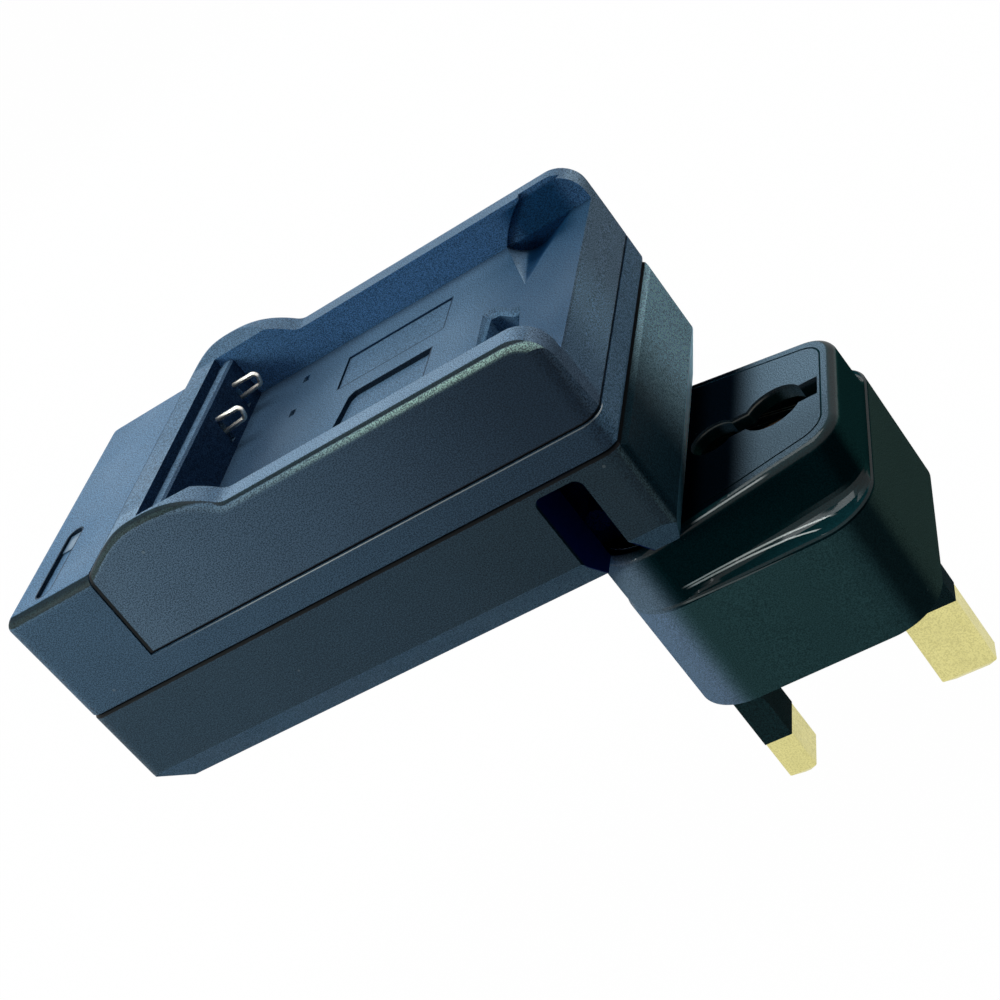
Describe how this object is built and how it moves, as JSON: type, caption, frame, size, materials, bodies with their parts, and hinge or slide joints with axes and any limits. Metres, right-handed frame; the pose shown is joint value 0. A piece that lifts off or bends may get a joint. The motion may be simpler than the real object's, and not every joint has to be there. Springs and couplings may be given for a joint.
{
  "type": "camera battery charger",
  "caption": "Plug-in battery charger with an open battery bay, spring contacts and a fold-out plug that sits in a square-pin mains adapter.",
  "frame": {"origin": "on the adapter's pin face, midway between the two flat pins", "axes": "+X along the charger towards its rear end, +Y across it, +Z away from the wall socket, with the battery bay facing +Z"},
  "size_m": [0.1005, 0.0468, 0.0858],
  "materials": {
    "case_plastic": "fine-grained dark slate moulding",
    "adapter_plastic": "glossy black moulding with a satin socket face",
    "dark_plastic": "plain black moulding",
    "pin_brass": "pale bare brass",
    "contact_brass": "rolled brass strip",
    "contact_metal": "bright plated spring wire",
    "blade_metal": "plated brass strip",
    "steel": "zinc-plated steel",
    "clear_plastic": "translucent moulding",
    "lamp_body": "small lamp package",
    "board": "green circuit board",
    "core": "wound transformer",
    "can": "aluminium can",
    "chip": "moulded package"
  },
  "bodies": {
    "adapter": {"adapter_base": "adapter_plastic", "adapter_cover": "adapter_plastic", "line_pin": "pin_brass", "neutral_pin": "pin_brass", "earth_pin": "pin_brass", "line_sleeve": "dark_plastic", "neutral_sleeve": "dark_plastic", "earth_sleeve": "dark_plastic", "line_contact": "contact_brass", "neutral_contact": "contact_brass", "earth_contact": "contact_brass", "adapter_screw": "steel"},
    "charger": {"lower_case": "case_plastic", "upper_case": "case_plastic", "battery_cradle": "case_plastic", "contact_spring_near": "contact_metal", "contact_spring_far": "contact_metal", "indicator_light_pipe": "clear_plastic", "charge_led": "lamp_body", "main_board": "board", "transformer": "core", "input_capacitor": "can", "output_capacitor": "can", "bridge_rectifier": "chip", "controller_chip": "chip", "case_screws": "steel", "plug_block": "dark_plastic", "plug_blade_near": "blade_metal", "plug_blade_far": "blade_metal", "plug_hinge_pin": "steel", "blade_contact_near": "blade_metal", "blade_contact_far": "blade_metal"}
  },
  "joints": [
    {"name": "charger_pull", "type": "slide", "parent": "adapter", "child": "charger", "axis": [0, 0, 1], "range_m": [0, 0.022]}
  ]
}
